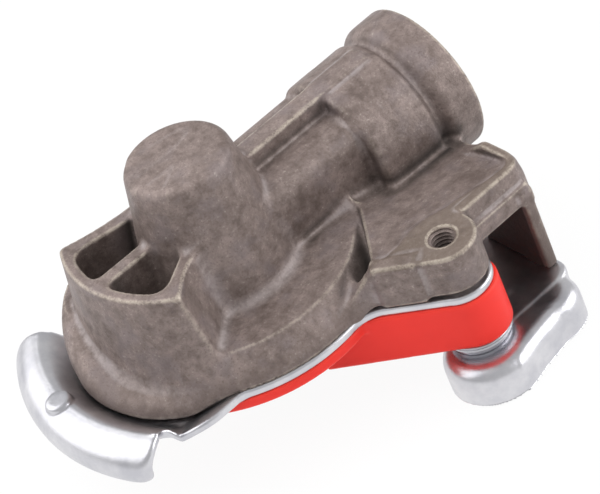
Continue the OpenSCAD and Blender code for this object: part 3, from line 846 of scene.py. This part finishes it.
def cast_finish(settings):
    """Raw die casting: mottled warm grey, speckled and pitted, tan on worn edges, a painted highlight in
    fillets, darker at the foot, painted shade nearly black in pockets and in the window of the bracket,
    with a ground land on the flat top of lug and rim."""
    f = Finish("cast_body")
    blotch = f.noise(70, 4.0, 0.6)
    mottle = f.noise(380, 6.0, 0.7)
    grain = f.noise(1900, 3.0, 0.6)
    bend = f.attribute("bend")
    shut = f.attribute("shut")
    tone = (blotch * 0.35 + mottle * 0.65).over(0.38, 0.6)
    colour = f.mix(tone, rgb(settings.dark), rgb(settings.base))
    stain = f.noise(150, 3.0, 0.5).over(0.52, 0.68) * 0.5
    colour = f.mix(stain, colour, rgb(settings.stain))
    speck = grain.over(0.6, 0.7) * mottle.over(0.42, 0.62)
    colour = f.mix(speck * 0.6, colour, rgb(settings.light))
    pit = (1.0 - grain).over(0.56, 0.68) * 0.7
    colour = f.mix(pit, colour, rgb(settings.dark))
    split = f.node("ShaderNodeSeparateXYZ", None, {0: f.place()})
    x, y, z = (split.value(k) for k in ("X", "Y", "Z"))
    above_step = z.over((LUG_Z - 0.45) * MM, (LUG_Z - 0.25) * MM)
    above_land = z.over((LUG_Z + 0.5) * MM, (LUG_Z + 0.8) * MM)
    past_rim = y.over(-29.0 * MM, -27.0 * MM)
    ground = above_step * (1.0 - above_land) * (1.0 - past_rim) * mottle.over(0.2, 0.45)
    colour = f.mix(ground * 0.5, colour, rgb(settings.land))
    edge = bend.over(0.5, 1.15) * (mottle * 0.6 + grain * 0.4).over(0.36, 0.56)
    colour = f.mix(edge * 0.8, colour, rgb(settings.worn))
    # Darker towards the foot, in blotches.
    foot_darkening = (1.0 - z.over(6.0 * MM, 13.0 * MM)) * blotch.over(0.2, 0.6)
    colour = f.mix(foot_darkening * 0.9, colour, rgb(settings.dark))
    # Painted highlight: open concave fillets are lightened towards the pale colour, as where they catch the
    # light.
    fillet_highlight = (bend * -1.0).over(0.05, 0.45) * mottle.over(0.25, 0.55) * (1.0 - shut.over(0.25, 0.5))
    colour = f.mix(fillet_highlight * 0.62, colour, rgb(settings.pale))
    # Painted shade: the hollow window under the bracket's tray, and pockets by how shut in they are, are
    # painted nearly black, with the metal taken out and the roughness raised.
    window = x.over(36.0 * MM, 37.5 * MM) * (1.0 - x.over(52.2 * MM, 52.5 * MM))
    window = window * y.over(-42.4 * MM, -41.6 * MM) * (1.0 - y.over(-18.0 * MM, -17.0 * MM))
    window = window * (1.0 - z.over(13.6 * MM, 14.4 * MM))
    recess_shade = shut.over(0.45, 0.95).math("MAXIMUM", window)
    colour = f.mix(recess_shade * 0.95, colour, rgb(settings.recess_shade))
    rough = 0.5 - edge * 0.12 + (grain - 0.5) * 0.25 + recess_shade * 0.3
    height = grain * 0.6 + mottle * 0.9
    normal = f.bump(height, settings.grain, 0.0005)
    return f.close(Base_Color=colour, Roughness=rough, Metallic=settings.metal * (1.0 - recess_shade), Normal=normal)


def zinc_finish(settings):
    """Bright zinc on pressed sheet: pale, a little blue, with cloudy gloss and fine rolling marks."""
    f = Finish("zinc_sheet")
    cloud = f.noise(140, 4.0, 0.6)
    fine = f.noise(1500, 3.0, 0.6)
    wave = f.noise(60, 2.0, 0.5)
    colour = f.mix(cloud.over(0.35, 0.7), rgb(settings.cool), rgb(settings.bright))
    bend = f.attribute("bend")
    # Painted shade: inner corners of the sheet are darkened towards the dull colour.
    colour = f.mix((bend * -1.0).over(0.3, 1.2) * 0.5, colour, rgb(settings.dull_and_corner_shade))
    rough = settings.gloss + (cloud - 0.5) * 0.16 + (fine - 0.5) * 0.08
    normal = f.bump(wave * 1.0 + fine * 0.12, 0.35, 0.0006)
    return f.close(Base_Color=colour, Roughness=rough, Metallic=1.0, Normal=normal)


def steel_finish(settings):
    """Plain zinc-plated steel of bolts, washers, screws and spring: greyer and duller than the sheet."""
    f = Finish("plated_steel")
    cloud = f.noise(300, 4.0, 0.6)
    fine = f.noise(2500, 2.0, 0.5)
    colour = f.mix(cloud.over(0.3, 0.7), rgb(settings.dull_and_corner_shade), rgb(settings.cool))
    rough = 0.3 + (cloud - 0.5) * 0.2
    normal = f.bump(fine, 0.25, 0.0002)
    return f.close(Base_Color=colour, Roughness=rough, Metallic=1.0, Normal=normal)


def red_finish(settings):
    """Satin moulded plastic in red, with faint flow clouds and a fine moulded grain."""
    f = Finish("red_plastic")
    flow = f.noise(70, 3.0, 0.5)
    fine = f.noise(3000, 2.0, 0.5)
    colour = f.mix(flow.over(0.3, 0.7), rgb(settings.deep), rgb(settings.red))
    colour = f.mix(f.attribute("bend").over(0.4, 1.4) * 0.25, colour, rgb(settings.pale))
    rough = 0.42 + (flow - 0.5) * 0.12
    normal = f.bump(fine * 0.5 + flow, 0.15, 0.0003)
    return f.close(Base_Color=colour, Roughness=rough, Normal=normal, Specular_IOR_Level=0.25)


def rubber_finish():
    """Matt moulded rubber with a dusty bloom."""
    f = Finish("seal_rubber")
    bloom = f.noise(200, 4.0, 0.6)
    fine = f.noise(3500, 2.0, 0.5)
    colour = f.mix(bloom.over(0.35, 0.75), (0.018, 0.018, 0.019, 1), (0.045, 0.044, 0.043, 1))
    return f.close(Base_Color=colour, Roughness=0.62 + bloom * 0.2, Normal=f.bump(fine, 0.2, 0.0003))


def natural_plastic_finish():
    """Natural moulded plastic of the valve: ivory, slightly waxy."""
    f = Finish("valve_plastic")
    cloud = f.noise(160, 3.0, 0.5)
    fine = f.noise(2600, 2.0, 0.5)
    colour = f.mix(cloud.over(0.3, 0.7), (0.62, 0.58, 0.47, 1), (0.72, 0.69, 0.6, 1))
    rough = 0.45 + (cloud - 0.5) * 0.15
    return f.close(Base_Color=colour, Roughness=rough, Normal=f.bump(fine, 0.12, 0.0003))


# Settings

class CouplingCasting(bpy.types.PropertyGroup):
    """Shape and finish of the casting."""

    fillet: FloatProperty(
        name="Fillet", description="Width of a plain cast fillet", default=0.0024, unit="LENGTH"
    )
    step: FloatProperty(
        name="Grid", description="Grid step of the casting's skin", default=0.0006, unit="LENGTH"
    )
    base: FloatVectorProperty(
        name="Base", description="Main grey", default=(0.26, 0.205, 0.188), subtype="COLOR"
    )
    dark: FloatVectorProperty(
        name="Dark", description="Grey of dull patches", default=(0.125, 0.094, 0.083), subtype="COLOR"
    )
    stain: FloatVectorProperty(
        name="Stain", description="Mauve stains", default=(0.2, 0.165, 0.168), subtype="COLOR"
    )
    # Painted shade: the nearly black colour painted into pockets and the bracket's window.
    recess_shade: FloatVectorProperty(
        name="Grime", description="Dirt in pockets", default=(0.018, 0.014, 0.012), subtype="COLOR"
    )
    light: FloatVectorProperty(
        name="Light", description="Bright specks", default=(0.45, 0.41, 0.37), subtype="COLOR"
    )
    worn: FloatVectorProperty(
        name="Worn", description="Rubbed edges", default=(0.45, 0.39, 0.325), subtype="COLOR"
    )
    land: FloatVectorProperty(
        name="Land", description="Ground land", default=(0.15, 0.115, 0.085), subtype="COLOR"
    )
    # Painted highlight: the pale colour painted into open concave fillets.
    pale: FloatVectorProperty(
        name="Pale", description="Smooth fillets", default=(0.37, 0.33, 0.33), subtype="COLOR"
    )
    metal: FloatProperty(
        name="Metal", description="Share of metal in the sheen", default=0.35, min=0.0, max=1.0
    )
    grain: FloatProperty(
        name="Grain", description="Depth of the cast grain", default=0.35, min=0.0, max=1.0
    )


class CouplingSheet(bpy.types.PropertyGroup):
    """Finish of the pressed sheet and plated steel."""

    step: FloatProperty(
        name="Grid", description="Grid step of the sheet's skin", default=0.00042, unit="LENGTH"
    )
    bright: FloatVectorProperty(
        name="Bright", description="Clear zinc", default=(0.74, 0.735, 0.76), subtype="COLOR"
    )
    cool: FloatVectorProperty(
        name="Cool", description="Cloudy zinc", default=(0.56, 0.56, 0.6), subtype="COLOR"
    )
    # Dull grey: the steel's dull clouds, and the painted shade in the sheet's inner corners.
    dull_and_corner_shade: FloatVectorProperty(
        name="Dull", description="Dull zinc in corners", default=(0.5, 0.5, 0.53), subtype="COLOR"
    )
    gloss: FloatProperty(
        name="Roughness", description="Mean roughness of the zinc", default=0.32, min=0.0, max=1.0
    )


class CouplingRail(bpy.types.PropertyGroup):
    """Finish of the red rail."""

    step: FloatProperty(
        name="Grid", description="Grid step of the rail's skin", default=0.0005, unit="LENGTH"
    )
    red: FloatVectorProperty(
        name="Red", description="Main red", default=(0.82, 0.03, 0.02), subtype="COLOR"
    )
    deep: FloatVectorProperty(
        name="Deep", description="Red of the clouds", default=(0.75, 0.025, 0.016), subtype="COLOR"
    )
    pale: FloatVectorProperty(
        name="Pale", description="Rubbed edges", default=(0.88, 0.1, 0.07), subtype="COLOR"
    )


class CouplingStage(bpy.types.PropertyGroup):
    """Camera, lights and floor."""

    lens: FloatProperty(name="Lens", description="Focal length in millimetres", default=192.0)
    azimuth: FloatProperty(
        name="Azimuth", description="Camera turn", default=math.radians(-25.175), subtype="ANGLE"
    )
    elevation: FloatProperty(
        name="Elevation", description="Camera height", default=math.radians(39.089), subtype="ANGLE"
    )
    roll: FloatProperty(
        name="Roll", description="Camera roll", default=math.radians(24.126), subtype="ANGLE"
    )
    distance: FloatProperty(name="Distance", description="Camera distance", default=0.69565, unit="LENGTH")
    aside: FloatProperty(
        name="Aside", description="Camera shift to the right", default=0.01385, unit="LENGTH"
    )
    above: FloatProperty(name="Above", description="Camera shift upwards", default=0.00887, unit="LENGTH")
    aim: FloatProperty(name="Aim", description="Height of the point aimed at", default=0.007, unit="LENGTH")
    key: FloatProperty(name="Key", description="Power of the top light", default=7.6, unit="POWER")
    left: FloatProperty(
        name="Left", description="Power of the light on the left", default=3.8, unit="POWER"
    )
    right: FloatProperty(
        name="Right", description="Power of the light on the right", default=3.4, unit="POWER"
    )
    world: FloatProperty(name="World", description="Strength of the even light", default=0.25)
    mirrored: FloatProperty(name="Mirrored", description="Brightness of the studio in mirrors", default=0.6)
    floor: FloatVectorProperty(
        name="Floor", description="Floor colour", default=(0.9, 0.9, 0.9), subtype="COLOR"
    )


# Operators

class COUPLING_OT_casting(bpy.types.Operator):
    """Cast body with its fillets and grain"""

    bl_idname = "coupling.casting"
    bl_label = "Cast body"

    def execute(self, context):
        """Makes the skin of the casting's field."""
        settings = context.scene.coupling_casting
        low, high = box_mm("body_casting")
        piece = add_field_piece("cast_body", casting_field, low, high, settings.step / MM, "body_casting")
        dress(piece, cast_finish(settings))
        return {"FINISHED"}


class COUPLING_OT_threads(bpy.types.Operator):
    """Threads of the hose port and of the lug"""

    bl_idname = "coupling.threads"
    bl_label = "Threads"

    def execute(self, context):
        """Lines both holes with a helical groove."""
        finish = cast_finish(context.scene.coupling_casting)
        low, high = PORT_X - PORT_DEPTH, PORT_X - 1.2
        points, faces = thread_liner(PORT_CORE_R, depth=0.8, pitch=1.5, low=low, high=high, back=11.3)
        along = np.stack([points[..., 2], points[..., 0], points[..., 1] + PORT_Z], axis=2)
        dress(add_piece("port_thread", along.reshape(-1, 3), faces, BODY), finish)
        low, high = SEAT_Z + 5.2, LUG_Z - 0.3
        points, faces = thread_liner(LUG_CORE_R, depth=0.5, pitch=1.0, low=low, high=high, back=3.3)
        points = points + np.array([LUG[0], LUG[1], 0.0])
        dress(add_piece("lug_thread", points.reshape(-1, 3), faces, BODY), finish)
        return {"FINISHED"}


class COUPLING_OT_sheet(bpy.types.Operator):
    """Pressed guide plate and hook plate in bright zinc"""

    bl_idname = "coupling.sheet"
    bl_label = "Pressed plates"

    def execute(self, context):
        """Makes the skins of both pressings."""
        settings = context.scene.coupling_sheet
        finish = zinc_finish(settings)
        pieces = {"guide_plate": guide_plate_field, "hook_plate": hook_field}
        for node, field in pieces.items():
            low, high = box_mm(node)
            piece = add_field_piece(f"pressed_{node}", field, low - 2.5, high + 1.0, settings.step / MM, node)
            dress(piece, finish)
        return {"FINISHED"}


class COUPLING_OT_rail(bpy.types.Operator):
    """Red moulded rail"""

    bl_idname = "coupling.rail"
    bl_label = "Red rail"

    def execute(self, context):
        """Makes the skin of the rail's field."""
        settings = context.scene.coupling_rail
        low, high = box_mm("guide_rail")
        piece = add_field_piece("red_rail", guide_rail_field, low, high, settings.step / MM, "guide_rail")
        dress(piece, red_finish(settings))
        return {"FINISHED"}


class COUPLING_OT_fasteners(bpy.types.Operator):
    """Spacer, lock washer, bolt and screws"""

    bl_idname = "coupling.fasteners"
    bl_label = "Fasteners"

    def execute(self, context):
        """Turns both rings and gives bolt and screws their finish."""
        finish = steel_finish(context.scene.coupling_sheet)
        washer_t, washer_r, spacer_r = 1.2, 7.0, 7.6
        edge, groove, groove_half = 0.2, 0.3, 0.25
        low, high = HOOK_TOP + washer_t, RAIL_BOTTOM
        line = (low + high) / 2
        spacer = [
            (BOLT_HOLE_R, low),
            (spacer_r - edge, low),
            (spacer_r, low + edge),
            (spacer_r, line - groove_half),
            (spacer_r - groove, line),
            (spacer_r, line + groove_half),
            (spacer_r, high - edge),
            (spacer_r - edge, high),
            (BOLT_HOLE_R, high),
        ]
        piece = add_piece("spacer_turned", *lathe(spacer, centre=LUG), BODY, "spacer_ring")
        dress(piece, finish)
        washer = [
            (BOLT_HOLE_R, HOOK_TOP),
            (washer_r - edge, HOOK_TOP),
            (washer_r, HOOK_TOP + edge),
            (washer_r, low - edge),
            (washer_r - edge, low),
            (BOLT_HOLE_R, low),
        ]
        piece = add_piece("washer_turned", *lathe(washer, centre=LUG), BODY, "lock_washer")
        dress(piece, finish)
        for node in ("hook_bolt", "plate_screws"):
            dress(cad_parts[node], finish)
        return {"FINISHED"}


class COUPLING_OT_valve(bpy.types.Operator):
    """Seal, valve and its spring"""

    bl_idname = "coupling.valve"
    bl_label = "Seal and valve"

    def execute(self, context):
        """Gives seal and valve their finish and winds the spring."""
        dress(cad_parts["face_seal"], rubber_finish())
        dress(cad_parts["valve_plunger"], natural_plastic_finish())
        low, high = (corner[2] for corner in box_mm("valve_spring"))
        coil = spring_wire(radius=8.0, wire=0.8, turns=6.5, low=low, high=high)
        piece = add_piece("valve_coil", *coil, BODY, "valve_spring")
        dress(piece, steel_finish(context.scene.coupling_sheet))
        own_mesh(piece)
        return {"FINISHED"}


class COUPLING_OT_stage(bpy.types.Operator):
    """Floor, lights and camera"""

    bl_idname = "coupling.stage"
    bl_label = "Stage"

    def execute(self, context):
        """Sets the white floor, the soft lights and the fitted camera."""
        settings = context.scene.coupling_stage
        self.add_floor(settings)
        self.add_lights(context, settings)
        self.add_camera(context, settings)
        context.scene.view_settings.view_transform = "Standard"
        return {"FINISHED"}

    @staticmethod
    def add_floor(settings):
        """A flat sheet just below the hook; it looks white to camera and mirrors and still takes the
        shadow."""
        half, gap, white_share = 3.0, 0.0002, 0.94
        level = CAD_BOX[0][2] - gap
        mesh = bpy.data.meshes.new("floor")
        corners = [(-half, -half, level), (half, -half, level), (half, half, level), (-half, half, level)]
        mesh.from_pydata(corners, [], [(0, 1, 2, 3)])
        floor = bpy.data.objects.new("floor", mesh)
        bpy.context.scene.collection.objects.link(floor)
        f = Finish("white_floor")
        diffuse = f.node("ShaderNodeBsdfDiffuse", None, {"Color": rgb(settings.floor)})
        glow = f.node("ShaderNodeEmission", None, {"Color": (1, 1, 1, 1), "Strength": 1.0})
        parts = {0: f.seen() * white_share, 1: diffuse.out(), 2: glow.out()}
        mixed = f.node("ShaderNodeMixShader", None, parts)
        f.node("ShaderNodeOutputMaterial", None, {"Surface": mixed.out()})
        mesh.materials.append(f.material)

    @staticmethod
    def add_lights(context, settings):
        """An even world, a wide soft light overhead that does not show in mirrors, and one on either side
        of the view. Each lamp is given by its power, its width and its place, and looks at the origin."""
        world = bpy.data.worlds.new("studio")
        world.use_nodes = True
        f = Finish(world)
        strength = settings.world + f.seen() * (settings.mirrored - settings.world)
        sky = f.node("ShaderNodeBackground", None, {"Color": (1, 1, 1, 1), "Strength": strength})
        f.node("ShaderNodeOutputWorld", None, {"Surface": sky.out()})
        context.scene.world = world
        lamps = {
            "top_light": (settings.key, 1.3, (-0.10, 0.05, 0.64)),
            "left_light": (settings.left, 1.1, (-0.36, 0.44, 0.5)),
            "right_light": (settings.right, 0.7, (0.54, -0.42, 0.24)),
        }
        for name, (power, size, place) in lamps.items():
            lamp = bpy.data.lights.new(name, "AREA")
            lamp.shape = "DISK"
            lamp.size = size
            lamp.energy = power
            holder = bpy.data.objects.new(name, lamp)
            context.scene.collection.objects.link(holder)
            back = np.array(place) / np.linalg.norm(place)
            right = np.cross((0.0, 1.0, 0.0), back)
            right /= np.linalg.norm(right)
            holder.matrix_world = placed(right, np.cross(back, right), back, place)
            holder.visible_glossy = name != "top_light"

    @staticmethod
    def add_camera(context, settings):
        """Camera turned by azimuth and elevation, rolled, and set off so that the seal axis lands where
        it was seen."""
        a, e, roll = settings.azimuth, settings.elevation, settings.roll
        back = np.array([math.sin(a) * math.cos(e), -math.cos(a) * math.cos(e), math.sin(e)])
        level = np.array([math.cos(a), math.sin(a), 0.0])
        upright = np.cross(back, level)
        right = math.cos(roll) * level - math.sin(roll) * upright
        up = math.sin(roll) * level + math.cos(roll) * upright
        place = settings.aside * right + settings.above * up + settings.distance * back
        place[2] += settings.aim
        lens = bpy.data.cameras.new("camera")
        lens.sensor_width = 36.0
        lens.lens = settings.lens
        camera = bpy.data.objects.new("camera", lens)
        camera.matrix_world = placed(right, up, back, place)
        context.scene.collection.objects.link(camera)
        context.scene.camera = camera


def placed(right, up, back, place):
    """World matrix from three directions and a place."""
    rows = np.eye(4)
    rows[:3, 0], rows[:3, 1], rows[:3, 2], rows[:3, 3] = right, up, back, place
    return Matrix(rows.tolist())


class COUPLING_PT_panel(bpy.types.Panel):
    """Lists the operators in the sidebar"""

    bl_idname = "COUPLING_PT_panel"
    bl_label = "Palm coupling"
    bl_space_type = "VIEW_3D"
    bl_region_type = "UI"
    bl_category = "Coupling"

    def draw(self, context):
        """One button for each operator."""
        for operator in OPERATORS:
            self.layout.operator(operator.bl_idname)


OPERATORS = (
    COUPLING_OT_casting,
    COUPLING_OT_threads,
    COUPLING_OT_sheet,
    COUPLING_OT_rail,
    COUPLING_OT_fasteners,
    COUPLING_OT_valve,
    COUPLING_OT_stage,
)
SETTINGS = {
    "coupling_casting": CouplingCasting,
    "coupling_sheet": CouplingSheet,
    "coupling_rail": CouplingRail,
    "coupling_stage": CouplingStage,
}


def register():
    """Adds settings, operators and panel."""
    for name, group in SETTINGS.items():
        bpy.utils.register_class(group)
        setattr(bpy.types.Scene, name, PointerProperty(type=group))
    for item in (*OPERATORS, COUPLING_PT_panel):
        bpy.utils.register_class(item)


def unregister():
    """Takes them out again."""
    for item in (COUPLING_PT_panel, *reversed(OPERATORS)):
        bpy.utils.unregister_class(item)
    for name, group in SETTINGS.items():
        delattr(bpy.types.Scene, name)
        bpy.utils.unregister_class(group)


def main():
    """Builds every piece in order."""
    register()
    for operator in OPERATORS:
        group, name = operator.bl_idname.split(".")
        getattr(getattr(bpy.ops, group), name)()


if __name__ == "__main__":
    main()
